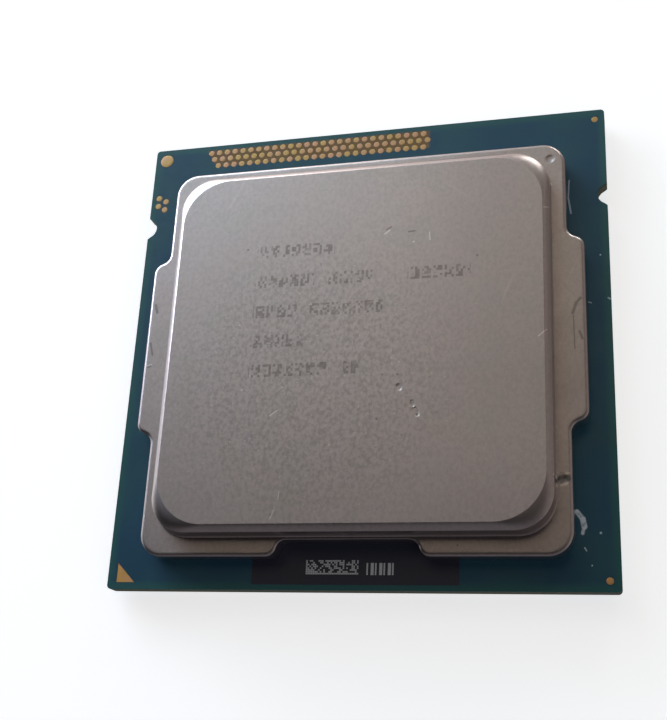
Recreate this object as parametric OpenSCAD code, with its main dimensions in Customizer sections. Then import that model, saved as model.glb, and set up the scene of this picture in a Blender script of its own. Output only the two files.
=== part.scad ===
// Land-grid processor package: laminate substrate, silicon die under a nickel-plated copper lid,
// contact lands and decoupling capacitors underneath.
// Millimetres. The origin is the package centre on the plane of the contact lands, +Z towards the lid,
// and +Y towards the edge that carries the long row of test pads.

/* [Substrate] */
// Length of each side of the square substrate
package_size = 37.5; // [36:0.1:39]
// Radius of the four substrate corners
package_corner_r = 0.3; // [0.2:0.1:1]
// Thickness of the glass-fibre core
core_t = 0.7; // [0.5:0.05:0.9]
// Thickness of the build-up dielectric on each side of the core
build_up_t = 0.17; // [0.12:0.01:0.25]
// Thickness of the copper planes pressed onto the core
plane_t = 0.035; // [0.02:0.005:0.05]
// Distance from the substrate edge to the copper planes
plane_inset = 1.2; // [1:0.1:2]
// Thickness of the solder mask on each side
mask_t = 0.03; // [0.02:0.005:0.05]
// Diameter of the copper posts through the core
via_d = 0.3; // [0.2:0.05:0.4]
// Number of copper posts along each side of their square field
via_count = 12; // [4:1:14]
// Distance between neighbouring copper posts
via_pitch = 2.6; // [2:0.1:2.6]

/* [Key notches] */
// Distance of the two key notches from the package centre, towards +Y
notch_y = 11.3; // [10.5:0.1:12]
// Depth of each key notch from the substrate edge
notch_depth = 0.72; // [0.5:0.02:0.8]
// Radius of the round bottom of each key notch
notch_r = 0.85; // [0.7:0.05:1]
// Height of the flare at each mouth of a key notch
notch_flare = 0.2; // [0.1:0.05:0.4]

/* [Lid] */
// Height of the lid's top face above the plane of the lands
package_height = 4.38; // [4.2:0.01:4.6]
// Length of each side of the square flange, without its ears
flange_size = 31.5; // [31:0.1:32]
// How much further the flange reaches at the front
flange_front_reach = 0.2; // [0:0.05:0.4]
// Radius of the flange corners
flange_corner_r = 1.75; // [1:0.05:2.5]
// Height of the flange's top face above the substrate
flange_top_h = 1.65; // [1.5:0.05:1.8]
// Distance from the package centre to the lid centre, towards -Y
lid_shift = 0.68; // [0:0.02:0.8]
// Width over both ears
ear_span = 34; // [33.5:0.1:34.5]
// Length of the ears at their roots, centred on the package
ear_length = 16; // [14:0.1:17]
// Height of the double bend at each end of an ear
ear_bend = 1.7; // [1.3:0.1:2]
// Half the width of the notch in the front of the flange, where it is widest
front_notch_half = 6; // [5:0.1:7]
// Run of the double bend at each end of the front notch
front_notch_bend = 1.55; // [1.2:0.05:2]
// Depth of the front notch
front_notch_depth = 1.2; // [0.9:0.05:1.2]
// Length of each side of the raised platform at its foot
platform_size = 29.35; // [28.5:0.05:30]
// Plan radius of the platform corners at their foot
platform_corner_r = 3.6; // [2.5:0.1:5]
// Inward slope of the platform wall from foot to top
platform_draft = 0.12; // [0:0.02:0.3]
// Radius of the rounded edge around the platform's top face
platform_edge_r = 0.5; // [0.3:0.05:0.7]
// Distance from the lid centre to the small coined dimple, in X
dimple_x = 14.65; // [14:0.05:14.8]
// Distance from the lid centre to the small coined dimple, in Y
dimple_y = 14.5; // [14:0.05:14.8]
// Diameter of the coined dimple
dimple_d = 0.85; // [0.6:0.05:1]
// Depth of the coined dimple
dimple_depth = 0.15; // [0.05:0.01:0.3]

/* [Under the lid] */
// Thickness of the silicone bead between lid and substrate
adhesive_t = 0.12; // [0.08:0.01:0.2]
// Width of the silicone bead
adhesive_w = 1.5; // [1:0.1:1.5]
// Length of the gap in the silicone bead that lets air out
adhesive_gap = 3; // [2:0.5:5]
// Width of the silicon die
die_w = 8.14; // [7:0.1:11]
// Length of the silicon die
die_l = 19.36; // [18:0.1:21]
// Thickness of the silicon die
die_t = 0.77; // [0.7:0.01:0.8]
// Height of the solder bumps under the die
bump_h = 0.09; // [0.08:0.01:0.12]
// Diameter of the solder bumps
bump_d = 0.32; // [0.2:0.02:0.4]
// Distance between neighbouring solder bumps
bump_pitch = 0.9; // [0.8:0.05:1.2]
// Width of the underfill fillet around the die
underfill_w = 1; // [0.6:0.1:1.4]
// Thickness of the thermal paste between die and lid
paste_t = 0.06; // [0.04:0.01:0.08]
// Length of each side of the square cavity inside the lid
cavity_size = 25.2; // [24:0.1:25.6]
// Radius of the cavity corners
cavity_corner_r = 2.5; // [1:0.1:4]

/* [Top pads and print] */
// Diameter of the round test pads
test_pad_d = 0.5; // [0.4:0.02:0.52]
// Distance between neighbouring test pads in one row
test_pad_pitch = 0.702; // [0.68:0.002:0.72]
// Diameter of the large reference pad in the rear left corner
large_fiducial_d = 1.15; // [0.8:0.05:1.3]
// Diameter of the small reference pads in the two right corners
small_fiducial_d = 0.5; // [0.4:0.05:0.6]
// Length of the short sides of the orientation triangle
triangle_side = 1.42; // [1.2:0.02:1.6]
// Gap between a pad and the solder mask around it
mask_gap = 0.02; // [0.01:0.005:0.03]
// Thickness of the printed ink
ink_t = 0.012; // [0.01:0.001:0.02]
// Width of the printed marking panel
panel_w = 15.2; // [12:0.1:15.5]
// Side of one square cell of the traceability pattern
cell = 0.11; // [0.08:0.01:0.12]
// Distance between neighbouring cells of the traceability pattern
cell_pitch = 0.13; // [0.12:0.01:0.15]
// Number of cells along the traceability pattern
code_columns = 30; // [10:1:30]
// Number of rows of cells in the traceability pattern
code_rows = 8; // [4:1:8]
// Number of plain bars beside the traceability pattern
bar_count = 7; // [3:1:8]
// Distance between neighbouring bars
bar_pitch = 0.31; // [0.3:0.01:0.4]
// Height of the bars
bar_h = 0.86; // [0.5:0.02:1]

/* [Contact lands] */
// Number of land positions along each side of the grid
land_count = 40; // [40:1:40]
// Distance between neighbouring lands
land_pitch = 0.9144; // [0.9:0.0002:0.92]
// Width of one land
land_w = 0.62; // [0.5:0.02:0.66]
// Length of one land
land_l = 0.8; // [0.6:0.02:0.82]
// Depth of a land's face behind the face of the solder mask
land_recess = 0.006; // [0.002:0.001:0.01]

/* [Capacitors] */
// Length of a large capacitor over its terminals
large_cap_l = 1.6; // [1.4:0.05:1.7]
// Width of a large capacitor
large_cap_w = 0.8; // [0.7:0.05:0.9]
// Length of a small capacitor over its terminals
small_cap_l = 1; // [0.9:0.05:1.1]
// Width of a small capacitor
small_cap_w = 0.5; // [0.4:0.05:0.6]
// Distance from the lands to the outer face of the large capacitors
large_cap_drop = 0.5; // [0.4:0.01:0.6]
// Distance from the lands to the outer face of the small capacitors
small_cap_drop = 0.4; // [0.3:0.01:0.5]

/* [Hidden] */
$fn = 48;

// Heights of the layers, from the lands upwards.
lower_copper_z = mask_t;
core_z = lower_copper_z + build_up_t;
core_top_z = core_z + core_t;
upper_copper_z = core_top_z + build_up_t;
substrate_top_z = upper_copper_z + mask_t;
pad_t = mask_t - land_recess;

// Heights inside and on the lid.
flange_z = substrate_top_z + adhesive_t;
flange_top_z = substrate_top_z + flange_top_h;
die_z = upper_copper_z + mask_t + bump_h - mask_t / 2;
die_top_z = die_z + die_t;
cavity_top_z = die_top_z + paste_t;
platform_h = package_height - flange_top_z;

half = package_size / 2;
plane_size = package_size - 2 * plane_inset;
flange_half = flange_size / 2;
ear_half = ear_span / 2;
ear_root = ear_length / 2;
adhesive_half = cavity_size / 2 + 0.4 + adhesive_w / 2;
adhesive_corner_r = cavity_corner_r + 0.4;
die_window_w = die_w - 0.3;
die_window_l = die_l - 0.3;
overlap = 0.5;

// Rows of test pads near the rear edge: [number of pads, X of the first pad, Y of the row].
rear_pad_rows = [[27, -13.74, 18.07], [27, -13.42, 17.46], [26, -13.05, 16.83]];
// Places of the four test pads near the left edge.
left_pads = [[-18.10, 14.11], [-17.46, 13.77], [-18.12, 13.38], [-17.52, 13.02]];
large_fiducial_at = [-17.77, 17.71];
small_fiducials_at = [[18.02, 17.9], [17.97, -18]];
triangle_corner = [-18.02, -18.24];
panel_front_y = -18.35;
panel_rear_y = -15.25;
panel_shift = 0.2;
code_corner = [-3.31, -17.62];
first_bar = [1.16, -17.66];
// Which cells of the traceability pattern are printed: an arbitrary pattern that carries no message.
code_fill = rands(0, 1, code_columns * code_rows, 5);

// Grid positions from 0 to land_count - 1 without lands in the middle of the package.
empty_columns = [12, 27];
empty_rows = [8, 31];
// Lands left out of each corner, as the side of a triangle of positions: rear left, rear right,
// front left, front right.
corner_steps = [5, 5, 4, 5];
notch_row = round(notch_y / land_pitch + (land_count - 1) / 2);

// Large capacitors stand in four columns and small ones between and beyond them.
large_cap_places = [for (x = [-4.8, -1.6, 1.6, 4.8]) for (y = [-6.5 : 2.6 : 6.5]) [x, y]];
small_cap_places = concat(
    [for (x = [-3.2, 0, 3.2]) for (y = [-7.8 : 2.6 : 7.8]) [x, y]],
    [for (x = [-5 : 2 : 5]) for (y = [-9.6, 9.6]) [x, y]]
);

module rounded_square(w, l, r) {
    square([w - 2 * r, l], center = true);
    square([w, l - 2 * r], center = true);
    for (sx = [-1, 1], sy = [-1, 1])
        translate([sx * (w / 2 - r), sy * (l / 2 - r)])
            circle(r);
}

module key_notch() {
    translate([half - notch_depth + notch_r, notch_y])
        circle(notch_r);
    mouth = sqrt(pow(notch_r, 2) - pow(notch_r - notch_depth, 2));
    polygon([
        [half - 0.25, notch_y - mouth + 0.08],
        [half + 0.1, notch_y - mouth - notch_flare],
        [half + 0.1, notch_y + mouth + notch_flare],
        [half - 0.25, notch_y + mouth - 0.08]
    ]);
}

// Plan of every full layer of the substrate.
module substrate_plan() {
    difference() {
        rounded_square(package_size, package_size, package_corner_r);
        key_notch();
        mirror([1, 0])
            key_notch();
    }
}

module layer(z, t) {
    translate([0, 0, z])
        linear_extrude(t)
            children();
}

module core_laminate() {
    color("#8f8a55")
        difference() {
            layer(core_z, core_t)
                substrate_plan();
            via_posts(core_z - overlap, core_t + 2 * overlap);
        }
}

module via_posts(z, h) {
    for (i = [0 : via_count - 1], j = [0 : via_count - 1])
        translate([(i - (via_count - 1) / 2) * via_pitch, (j - (via_count - 1) / 2) * via_pitch, z])
            cylinder(d = via_d, h = h);
}

module core_vias() {
    color("#b87333")
        via_posts(core_z, core_t);
}

module copper_plane(z) {
    layer(z, plane_t)
        rounded_square(plane_size, plane_size, 1);
}

module upper_copper_plane() {
    color("#b87333")
        copper_plane(core_top_z);
}

module lower_copper_plane() {
    color("#b87333")
        copper_plane(core_z - plane_t);
}

module upper_build_up() {
    color("#6f7440")
        difference() {
            layer(core_top_z, build_up_t)
                substrate_plan();
            copper_plane(core_top_z);
        }
}

module lower_build_up() {
    color("#6f7440")
        difference() {
            layer(lower_copper_z, build_up_t)
                substrate_plan();
            copper_plane(core_z - plane_t);
        }
}

// Plan of everything that opens the upper mask; grow widens each opening around its pad.
module rear_pad_plan(grow) {
    for (row = rear_pad_rows, i = [0 : row[0] - 1])
        translate([row[1] + i * test_pad_pitch, row[2]])
            circle(d = test_pad_d + 2 * grow);
}

module left_pad_plan(grow) {
    for (at = left_pads)
        translate(at)
            circle(d = test_pad_d + 2 * grow);
}

module large_fiducial_plan(grow) {
    translate(large_fiducial_at)
        circle(d = large_fiducial_d + 2 * grow);
}

module small_fiducial_plan(grow) {
    for (at = small_fiducials_at)
        translate(at)
            circle(d = small_fiducial_d + 2 * grow);
}

module triangle_plan(grow) {
    translate(triangle_corner)
        polygon([
            [-grow, -grow],
            [triangle_side + 2.4 * grow, -grow],
            [-grow, triangle_side + 2.4 * grow]
        ]);
}

module upper_solder_mask() {
    color("#1f4a52")
        layer(upper_copper_z, mask_t)
            difference() {
                substrate_plan();
                rear_pad_plan(mask_gap);
                left_pad_plan(mask_gap);
                large_fiducial_plan(mask_gap);
                small_fiducial_plan(mask_gap);
                triangle_plan(mask_gap);
                square([die_window_w, die_window_l], center = true);
            }
}

module marking_panel() {
    color("#15161c")
        layer(substrate_top_z, ink_t)
            translate([panel_shift - panel_w / 2, panel_front_y])
                square([panel_w, panel_rear_y - panel_front_y]);
}

// A block of cells, solid along its front and left sides, and a row of plain bars in two widths.
module traceability_cells() {
    color("#6d7076")
        layer(substrate_top_z + ink_t, ink_t) {
            for (column = [0 : code_columns - 1], row = [0 : code_rows - 1])
                if (row == 0 || column == 0 || code_fill[column * code_rows + row] > 0.5)
                    translate(code_corner + cell_pitch * [column, row])
                        square(cell);
            for (i = [0 : bar_count - 1])
                translate(first_bar + [i * bar_pitch, 0])
                    square([cell * (1 + i % 2), bar_h]);
        }
}

module orientation_triangle() {
    color("#d8a24a")
        layer(upper_copper_z, pad_t)
            triangle_plan(0);
}

module large_fiducial() {
    color("#d8a24a")
        layer(upper_copper_z, pad_t)
            large_fiducial_plan(0);
}

module small_fiducials() {
    color("#d8a24a")
        layer(upper_copper_z, pad_t)
            small_fiducial_plan(0);
}

module rear_test_pads() {
    color("#d8a24a")
        layer(upper_copper_z, pad_t)
            rear_pad_plan(0);
}

module left_test_pads() {
    color("#d8a24a")
        layer(upper_copper_z, pad_t)
            left_pad_plan(0);
}

function land_at(i) = (i - (land_count - 1) / 2) * land_pitch;

function in_middle(i, j) =
    i >= empty_columns[0] && i <= empty_columns[1] && j >= empty_rows[0] && j <= empty_rows[1];

function in_corner(i, j) =
    let (last = land_count - 1)
    i + (last - j) < corner_steps[0] || (last - i) + (last - j) < corner_steps[1]
    || i + j < corner_steps[2] || (last - i) + j < corner_steps[3];

function at_notch(i, j) = (i == 0 || i == land_count - 1) && abs(j - notch_row) <= 1;

function has_land(i, j) = !in_middle(i, j) && !in_corner(i, j) && !at_notch(i, j);

module land_field(columns, rows) {
    color("#d8a24a")
        layer(land_recess, pad_t)
            for (i = [columns[0] : columns[1]], j = [rows[0] : rows[1]])
                if (has_land(i, j))
                    translate([land_at(i), land_at(j)])
                        square([land_w, land_l], center = true);
}

module front_lands() {
    land_field([0, land_count - 1], [0, empty_rows[0] - 1]);
}

module rear_lands() {
    land_field([0, land_count - 1], [empty_rows[1] + 1, land_count - 1]);
}

module left_lands() {
    land_field([0, empty_columns[0] - 1], empty_rows);
}

module right_lands() {
    land_field([empty_columns[1] + 1, land_count - 1], empty_rows);
}

// One opening in the lower mask around the lands of row j between two columns.
module land_slot(first, last, j) {
    kept = [for (i = [first : last]) if (has_land(i, j)) i];
    x0 = land_at(kept[0]) - land_w / 2 - mask_gap;
    x1 = land_at(kept[len(kept) - 1]) + land_w / 2 + mask_gap;
    translate([x0, land_at(j) - land_l / 2 - mask_gap])
        square([x1 - x0, land_l + 2 * mask_gap]);
}

module capacitor_windows(places, l, w) {
    for (at = places)
        translate(at)
            square([w + 0.3, l + 0.3], center = true);
}

module lower_solder_mask() {
    color("#1f4a52")
        layer(0, mask_t)
            difference() {
                substrate_plan();
                for (j = [0 : empty_rows[0] - 1])
                    land_slot(0, land_count - 1, j);
                for (j = [empty_rows[1] + 1 : land_count - 1])
                    land_slot(0, land_count - 1, j);
                for (j = [empty_rows[0] : empty_rows[1]]) {
                    land_slot(0, empty_columns[0] - 1, j);
                    land_slot(empty_columns[1] + 1, land_count - 1, j);
                }
                capacitor_windows(large_cap_places, large_cap_l, large_cap_w);
                capacitor_windows(small_cap_places, small_cap_l, small_cap_w);
            }
}

// Quarter of a double bend: a concave arc of the outline runs into a convex one without a corner.
// rise is the outline's step across the bend and run its length along the straight edge.
function bend_radius(rise, run) = (pow(rise, 2) + pow(run, 2)) / (4 * rise);

module ear_plan() {
    rise = ear_half - flange_half;
    r = bend_radius(rise, ear_bend);
    outer = [ear_half - r, ear_root - ear_bend];
    inner = [flange_half + r, ear_root];
    difference() {
        union() {
            translate([0, -outer[1]])
                square([ear_half, 2 * outer[1]]);
            for (s = [-1, 1]) {
                polygon([[0, s * inner[1]], [inner[0], s * inner[1]], [outer[0], s * outer[1]], [0, s * outer[1]]]);
                translate([outer[0], s * outer[1]])
                    circle(r);
            }
        }
        for (s = [-1, 1])
            translate([inner[0], s * inner[1]])
                circle(r);
    }
}

// The notch's own shape, opening towards -Y, with its inner edge on the X axis.
module front_notch_plan() {
    r = bend_radius(front_notch_depth, front_notch_bend);
    wide = [front_notch_half, -front_notch_depth + r];
    narrow = [front_notch_half - front_notch_bend, -r];
    difference() {
        union() {
            translate([-narrow[0], -front_notch_depth - 1])
                square([2 * narrow[0], front_notch_depth + 1]);
            for (s = [-1, 1]) {
                polygon([
                    [0, -front_notch_depth - 1],
                    [s * wide[0], -front_notch_depth - 1],
                    [s * wide[0], wide[1]],
                    [s * narrow[0], narrow[1]]
                ]);
                translate([s * narrow[0], narrow[1]])
                    circle(r);
            }
        }
        for (s = [-1, 1])
            translate([s * wide[0], wide[1]])
                circle(r);
    }
}

module flange_plan() {
    difference() {
        union() {
            translate([0, -lid_shift - flange_front_reach / 2])
                rounded_square(flange_size, flange_size + flange_front_reach, flange_corner_r);
            ear_plan();
            mirror([1, 0])
                ear_plan();
        }
        translate([0, -lid_shift - flange_half - flange_front_reach + front_notch_depth])
            front_notch_plan();
    }
}

// Cross-section of the platform wall from its corner centre outwards, with a rounded top edge.
module platform_section() {
    edge = platform_corner_r - platform_draft - platform_edge_r;
    polygon([
        [0, -overlap],
        [platform_corner_r, -overlap],
        [platform_corner_r, 0],
        [edge + platform_edge_r, platform_h - platform_edge_r],
        [edge, platform_h],
        [0, platform_h]
    ]);
    translate([edge, platform_h - platform_edge_r])
        circle(platform_edge_r);
}

module platform() {
    straight = platform_size / 2 - platform_corner_r;
    translate([0, -lid_shift, flange_top_z]) {
        for (a = [0, 90, 180, 270])
            rotate([0, 0, a]) {
                translate([straight, straight, 0])
                    rotate_extrude(angle = 90)
                        intersection() {
                            platform_section();
                            translate([0, -overlap])
                                square([platform_corner_r, platform_h + overlap]);
                        }
                translate([straight, straight, 0])
                    rotate([90, 0, 0])
                        linear_extrude(2 * straight)
                            platform_section();
            }
        translate([0, 0, (platform_h - overlap) / 2])
            cube([2 * straight, 2 * straight, platform_h + overlap], center = true);
    }
}

module heat_spreader() {
    dimple_r = (pow(dimple_d / 2, 2) + pow(dimple_depth, 2)) / (2 * dimple_depth);
    color("#a3a09c")
        difference() {
            union() {
                layer(flange_z, flange_top_z - flange_z)
                    flange_plan();
                platform();
            }
            translate([0, -lid_shift])
                layer(flange_z - overlap, cavity_top_z - flange_z + overlap)
                    rounded_square(cavity_size, cavity_size, cavity_corner_r);
            translate([dimple_x, dimple_y - lid_shift, flange_top_z - dimple_depth + dimple_r])
                sphere(dimple_r);
        }
}

module lid_adhesive() {
    color("#26221f")
        layer(substrate_top_z, adhesive_t)
            difference() {
                translate([0, -lid_shift])
                    rounded_square(2 * adhesive_half + adhesive_w, 2 * adhesive_half + adhesive_w,
                                   adhesive_corner_r + adhesive_w);
                translate([0, -lid_shift])
                    rounded_square(2 * adhesive_half - adhesive_w, 2 * adhesive_half - adhesive_w,
                                   adhesive_corner_r);
                translate([-adhesive_gap / 2, 0])
                    square([adhesive_gap, package_size]);
            }
}

module thermal_paste() {
    color("#b9bcc0")
        layer(die_top_z, paste_t)
            rounded_square(die_w, die_l, 0.3);
}

module silicon_die() {
    color("#3d4450")
        layer(die_z, die_t)
            square([die_w, die_l], center = true);
}

module bump_posts(z, h) {
    columns = floor((die_window_w - bump_d) / bump_pitch);
    rows = floor((die_window_l - bump_d) / bump_pitch);
    for (i = [0 : columns], j = [0 : rows])
        translate([(i - columns / 2) * bump_pitch, (j - rows / 2) * bump_pitch, z])
            cylinder(d = bump_d, h = h);
}

module solder_bumps() {
    color("#c8c8c4")
        bump_posts(upper_copper_z, die_z - upper_copper_z);
}

// The fillet climbs the die's sides from the substrate as a triangle turned around the die.
module underfill() {
    color("#2b2a30")
        union() {
            difference() {
                union() {
                    layer(upper_copper_z, die_z - upper_copper_z)
                        square([die_window_w, die_window_l], center = true);
                    layer(substrate_top_z, die_z - substrate_top_z)
                        square([die_w, die_l], center = true);
                }
                bump_posts(upper_copper_z - overlap, die_z - upper_copper_z + 2 * overlap);
            }
            translate([0, 0, substrate_top_z])
                for (side = [[0, die_w, die_l], [90, die_l, die_w], [180, die_w, die_l], [270, die_l, die_w]])
                    rotate([0, 0, side[0]])
                        translate([side[1] / 2, side[2] / 2, 0]) {
                            rotate([90, 0, 0])
                                linear_extrude(side[2])
                                    fillet_section();
                            rotate_extrude(angle = 90)
                                fillet_section();
                        }
        }
}

module fillet_section() {
    polygon([[0, 0], [underfill_w, 0], [0, die_t * 0.6]]);
}

module capacitor_body(l, w, drop) {
    terminal_l = l * 0.22;
    layer(-drop + 0.015, drop - 0.035)
        square([w - 0.03, l - 2 * terminal_l], center = true);
}

module capacitor_terminals(l, w, drop) {
    terminal_l = l * 0.22;
    for (s = [-1, 1])
        translate([0, s * (l - terminal_l) / 2])
            layer(-drop, drop - 0.015)
                square([w, terminal_l], center = true);
}

module capacitor_pads(l, w, z, t, grow) {
    terminal_l = l * 0.22;
    for (s = [-1, 1])
        translate([0, s * (l - terminal_l) / 2])
            layer(z, t)
                square([w + grow, terminal_l + grow], center = true);
}

module at_places(places) {
    for (at = places)
        translate(at)
            children();
}

module large_capacitor_bodies() {
    color("#a98d6b")
        at_places(large_cap_places)
            capacitor_body(large_cap_l, large_cap_w, large_cap_drop);
}

module large_capacitor_terminals() {
    color("#c4c2bd")
        at_places(large_cap_places)
            capacitor_terminals(large_cap_l, large_cap_w, large_cap_drop);
}

module large_capacitor_solder() {
    color("#b5b5b2")
        at_places(large_cap_places)
            capacitor_pads(large_cap_l, large_cap_w, -0.015, 0.015 + land_recess, 0.08);
}

module large_capacitor_pads() {
    color("#d8a24a")
        at_places(large_cap_places)
            capacitor_pads(large_cap_l, large_cap_w, land_recess, pad_t, 0.12);
}

module small_capacitor_bodies() {
    color("#8d7355")
        at_places(small_cap_places)
            capacitor_body(small_cap_l, small_cap_w, small_cap_drop);
}

module small_capacitor_terminals() {
    color("#c4c2bd")
        at_places(small_cap_places)
            capacitor_terminals(small_cap_l, small_cap_w, small_cap_drop);
}

module small_capacitor_solder() {
    color("#b5b5b2")
        at_places(small_cap_places)
            capacitor_pads(small_cap_l, small_cap_w, -0.015, 0.015 + land_recess, 0.08);
}

module small_capacitor_pads() {
    color("#d8a24a")
        at_places(small_cap_places)
            capacitor_pads(small_cap_l, small_cap_w, land_recess, pad_t, 0.12);
}

core_laminate();
core_vias();
upper_copper_plane();
lower_copper_plane();
upper_build_up();
lower_build_up();
upper_solder_mask();
lower_solder_mask();
marking_panel();
traceability_cells();
orientation_triangle();
large_fiducial();
small_fiducials();
rear_test_pads();
left_test_pads();
front_lands();
rear_lands();
left_lands();
right_lands();
heat_spreader();
lid_adhesive();
thermal_paste();
silicon_die();
solder_bumps();
underfill();
large_capacitor_bodies();
large_capacitor_terminals();
large_capacitor_solder();
large_capacitor_pads();
small_capacitor_bodies();
small_capacitor_terminals();
small_capacitor_solder();
small_capacitor_pads();
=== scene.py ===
from math import atan2, copysign, cos, degrees, hypot, pi, radians, sin, sqrt

import bmesh
import bpy
from mathutils import Matrix, Vector, noise


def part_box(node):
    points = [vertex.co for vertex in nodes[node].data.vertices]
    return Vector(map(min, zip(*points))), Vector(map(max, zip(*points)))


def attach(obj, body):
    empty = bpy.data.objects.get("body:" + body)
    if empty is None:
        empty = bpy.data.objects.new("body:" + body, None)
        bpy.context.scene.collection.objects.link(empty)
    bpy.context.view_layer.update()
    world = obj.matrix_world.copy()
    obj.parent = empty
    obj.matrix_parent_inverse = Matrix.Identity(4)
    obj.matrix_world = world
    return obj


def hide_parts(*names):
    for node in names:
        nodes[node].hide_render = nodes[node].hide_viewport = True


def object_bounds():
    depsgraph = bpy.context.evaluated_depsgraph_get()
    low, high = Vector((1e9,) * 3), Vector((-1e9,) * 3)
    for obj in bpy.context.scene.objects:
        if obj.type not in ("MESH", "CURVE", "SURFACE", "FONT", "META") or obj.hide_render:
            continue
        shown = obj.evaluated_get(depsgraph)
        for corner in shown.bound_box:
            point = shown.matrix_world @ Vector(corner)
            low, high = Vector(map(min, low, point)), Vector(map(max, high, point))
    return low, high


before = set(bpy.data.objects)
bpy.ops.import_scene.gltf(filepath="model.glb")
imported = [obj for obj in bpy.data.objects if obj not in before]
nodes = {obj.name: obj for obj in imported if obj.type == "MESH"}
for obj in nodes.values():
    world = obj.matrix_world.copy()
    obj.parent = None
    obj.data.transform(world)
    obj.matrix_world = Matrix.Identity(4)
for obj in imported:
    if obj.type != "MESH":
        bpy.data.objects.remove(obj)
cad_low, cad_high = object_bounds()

MM = 0.001


# ---------------------------------------------------------------- sizes from the frame, millimetres

def box_mm(node):
    low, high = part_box(node)
    return low / MM, high / MM


LID_LOW, LID_HIGH = box_mm("heat_spreader")
MASK_HIGH = box_mm("upper_solder_mask")[1]
SUBSTRATE_TOP = MASK_HIGH.z
HALF_SUBSTRATE = MASK_HIGH.x
FLANGE_HALF = 15.75
FLANGE_HEIGHT = 1.65
FLANGE_TOP = SUBSTRATE_TOP + FLANGE_HEIGHT
# The Y of the lid's middle.
LID_Y = LID_HIGH.y - FLANGE_HALF
EAR_HALF = LID_HIGH.x
CAVITY_TOP = box_mm("thermal_paste")[1].z


# ---------------------------------------------------------------- camera, floor and light

# The camera looks from in front and a little to the right, almost straight down.
CAMERA_RIGHT = Vector((0.96692, 0.04891, -0.25035))
CAMERA_UP = Vector((0.04342, 0.93557, 0.35047))
CAMERA_PLACE = Vector((20.07, -32.03, 79.5 + SUBSTRATE_TOP))
CAMERA_LENS = 57.54
CAMERA_SENSOR = 36

# Soft panels: name, azimuth and elevation in degrees, distance, size, and watts of red, green and blue.
PANELS = [
    ("window", (138, 13), 420, (300, 140), (1.06, 1.165, 1.45)),
    ("window_frame", (110, 13), 420, (100, 140), (0.165, 0.145, 0.132)),
    ("upper_window", (120, 28), 420, (220, 220), (0.19, 0.31, 0.36)),
    ("ceiling", (103, 60), 460, (400, 260), (0.198, 0.168, 0.132)),
    ("warm_wall", (40, 28), 420, (260, 220), (0.020, 0.016, 0.014)),
    ("side_lamp", (71, 14), 420, (120, 100), (0.190, 0.188, 0.172)),
]
# A weak panel in front, which only matt surfaces pick up.
FILL_PANEL = ("fill", (-60, 50), 500, (500, 400), (0.26, 0.28, 0.33))
# Soft bands of the dim room that the lid mirrors: azimuth in degrees and rise of the band's middle, the
# cosines at which it starts and is full, and its colour.
ROOM_BANDS = [
    (150, -0.25, 0.62, 0.97, (1.00, 1.00, 1.00)),
    (95, -0.25, 0.55, 1.00, (0.88, 0.77, 0.71)),
    (12, 0.20, 0.40, 0.95, (0.240, 0.208, 0.186)),
    (-80, -0.25, -0.10, 0.80, (0.150, 0.140, 0.145)),
]
# The floor's side, its gap below the object and the radius of the dome round it, in metres.
FLOOR_SIZE = 8
FLOOR_GAP = 0.00002
DOME_RADIUS = 1.2


def make_camera():
    data = bpy.data.cameras.new("camera")
    data.sensor_width = CAMERA_SENSOR
    data.lens = CAMERA_LENS
    data.clip_start = 0.001
    data.clip_end = 5
    camera = bpy.data.objects.new("camera", data)
    bpy.context.scene.collection.objects.link(camera)
    back = CAMERA_RIGHT.cross(CAMERA_UP).normalized()
    up = back.cross(CAMERA_RIGHT).normalized()
    turn = Matrix((CAMERA_RIGHT, up, back)).transposed().to_4x4()
    camera.matrix_world = Matrix.Translation(CAMERA_PLACE * MM) @ turn
    bpy.context.scene.camera = camera
    bpy.context.scene.view_settings.view_transform = "Standard"


def area_light(name, heading, distance, size, watts, in_reflections=True):
    """A soft panel facing the object's middle.

    heading is its azimuth and elevation in degrees, distance and size are in millimetres, and watts
    holds the power of its red, green and blue.
    """
    data = bpy.data.lights.new(name, "AREA")
    data.shape = "RECTANGLE"
    data.size, data.size_y = size[0] * MM, size[1] * MM
    data.energy = max(watts)
    data.color = [part / max(watts) for part in watts]
    light = bpy.data.objects.new(name, data)
    bpy.context.scene.collection.objects.link(light)
    azimuth, elevation = (radians(angle) for angle in heading)
    away = Vector((cos(elevation) * cos(azimuth), cos(elevation) * sin(azimuth), sin(elevation)))
    light.location = away * distance * MM
    light.rotation_mode = "QUATERNION"
    light.rotation_quaternion = away.to_track_quat("Z", "Y")
    light.visible_glossy = in_reflections


def make_studio():
    world = bpy.data.worlds.new("studio")
    bpy.context.scene.world = world
    world.use_nodes = True
    room_material(world.node_tree)
    for panel in PANELS:
        area_light(*panel)
    area_light(*FILL_PANEL, in_reflections=False)

    bpy.ops.mesh.primitive_plane_add(size=FLOOR_SIZE, location=(0, 0, cad_low.z - FLOOR_GAP))
    floor = bpy.context.object
    floor.name = "floor"
    pale = floor_material()
    floor.data.materials.append(pale)
    floor.visible_glossy = False

    # A pale dome beyond the lights, which only the camera sees.
    bpy.ops.mesh.primitive_uv_sphere_add(segments=64, ring_count=32, radius=DOME_RADIUS,
                                         location=floor.location)
    dome = bpy.context.object
    dome.name = "backdrop"
    dome.data.materials.append(pale)
    dome.visible_diffuse = False
    dome.visible_glossy = False
    dome.visible_transmission = False
    dome.visible_shadow = False


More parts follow.
